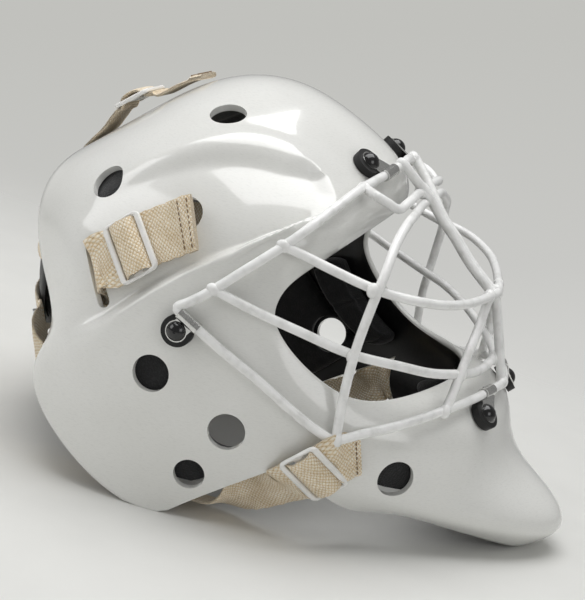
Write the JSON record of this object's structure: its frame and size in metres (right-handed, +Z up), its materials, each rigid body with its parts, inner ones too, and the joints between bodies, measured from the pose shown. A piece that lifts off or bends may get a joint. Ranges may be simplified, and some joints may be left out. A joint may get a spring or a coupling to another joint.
{
  "type": "hockey goalie mask",
  "caption": "White ice hockey goalie mask with a bolted wire cage, foam liner and an elastic strap harness that carries a padded backplate.",
  "frame": {"origin": "middle of the bounding box, on the table plane that the chin and the two jaw flaps stand on", "axes": "+X the way the face looks, +Y the wearer's left, +Z up"},
  "size_m": [0.3095, 0.2536, 0.2077],
  "materials": {
    "shell_gloss": "glossy moulded composite, white",
    "cage_paint": "white gloss powder coat on steel wire",
    "clip_steel": "bright stainless steel",
    "washer_rubber": "matt black rubber",
    "screw_black": "black coated steel, semi-gloss",
    "fastener_steel": "zinc plated steel",
    "sweatband_cloth": "brushed knitted cloth over thin foam",
    "foam": "dense foam with a laminated cloth face",
    "plate_plastic": "moulded plastic, fine grain",
    "slider_plastic": "moulded nylon, satin",
    "elastic": "coarse woven elastic webbing"
  },
  "bodies": {
    "mask": {"shell": "shell_gloss", "cage_perimeter_wire": "cage_paint", "cage_brow_bar": "cage_paint", "cage_arch_bar": "cage_paint", "cage_centre_bar_right": "cage_paint", "cage_centre_bar_left": "cage_paint", "cage_upper_crossbar": "cage_paint", "cage_lower_crossbar": "cage_paint", "cage_chin_bar_right": "cage_paint", "cage_chin_bar_left": "cage_paint", "cage_centre_chin_bar": "cage_paint", "top_clips": "clip_steel", "side_clips": "clip_steel", "chin_clips": "clip_steel", "clip_washers": "washer_rubber", "clip_screws": "screw_black", "flanged_nuts": "fastener_steel", "forehead_pad": "foam", "sweatband": "sweatband_cloth", "crown_pad": "foam", "temple_pad_right": "foam", "temple_pad_left": "foam", "cheek_pad_right": "foam", "cheek_pad_left": "foam", "jaw_pad_right": "foam", "jaw_pad_left": "foam", "chin_pad": "foam", "top_strap": "elastic", "side_strap_right": "elastic", "side_strap_left": "elastic", "lower_strap_right": "elastic", "lower_strap_left": "elastic"},
    "backplate": {"backplate": "plate_plastic", "backplate_pad": "foam", "rear_band": "elastic", "strap_rivets": "fastener_steel"},
    "top_slider": {"top_slider": "slider_plastic"},
    "side_slider_right": {"side_slider_right": "slider_plastic"},
    "side_slider_left": {"side_slider_left": "slider_plastic"},
    "lower_slider_right": {"lower_slider_right": "slider_plastic"},
    "lower_slider_left": {"lower_slider_left": "slider_plastic"}
  },
  "joints": [
    {"name": "backplate_slide", "type": "slide", "parent": "mask", "child": "backplate", "axis": [-1, 0, 0], "range_m": [0, 0.025], "stiffness_N_per_m": 300, "deforming": ["top_strap", "side_strap_right", "side_strap_left", "lower_strap_right", "lower_strap_left"]},
    {"name": "top_slider_slide", "type": "slide", "parent": "mask", "child": "top_slider", "axis": [0.76, 0, 0.65], "range_m": [-0.006, 0.006], "deforming": ["top_strap"]},
    {"name": "side_slider_right_slide", "type": "slide", "parent": "mask", "child": "side_slider_right", "axis": [0.725, -0.0229, 0.6883], "range_m": [-0.006, 0.006], "deforming": ["side_strap_right"]},
    {"name": "side_slider_left_slide", "type": "slide", "parent": "mask", "child": "side_slider_left", "axis": [0.725, 0.0229, 0.6883], "range_m": [-0.006, 0.006], "deforming": ["side_strap_left"]},
    {"name": "lower_slider_right_slide", "type": "slide", "parent": "mask", "child": "lower_slider_right", "axis": [0.717, 0, 0.697], "range_m": [-0.006, 0.006], "deforming": ["lower_strap_right"]},
    {"name": "lower_slider_left_slide", "type": "slide", "parent": "mask", "child": "lower_slider_left", "axis": [0.717, 0, 0.697], "range_m": [-0.006, 0.006], "deforming": ["lower_strap_left"]}
  ]
}
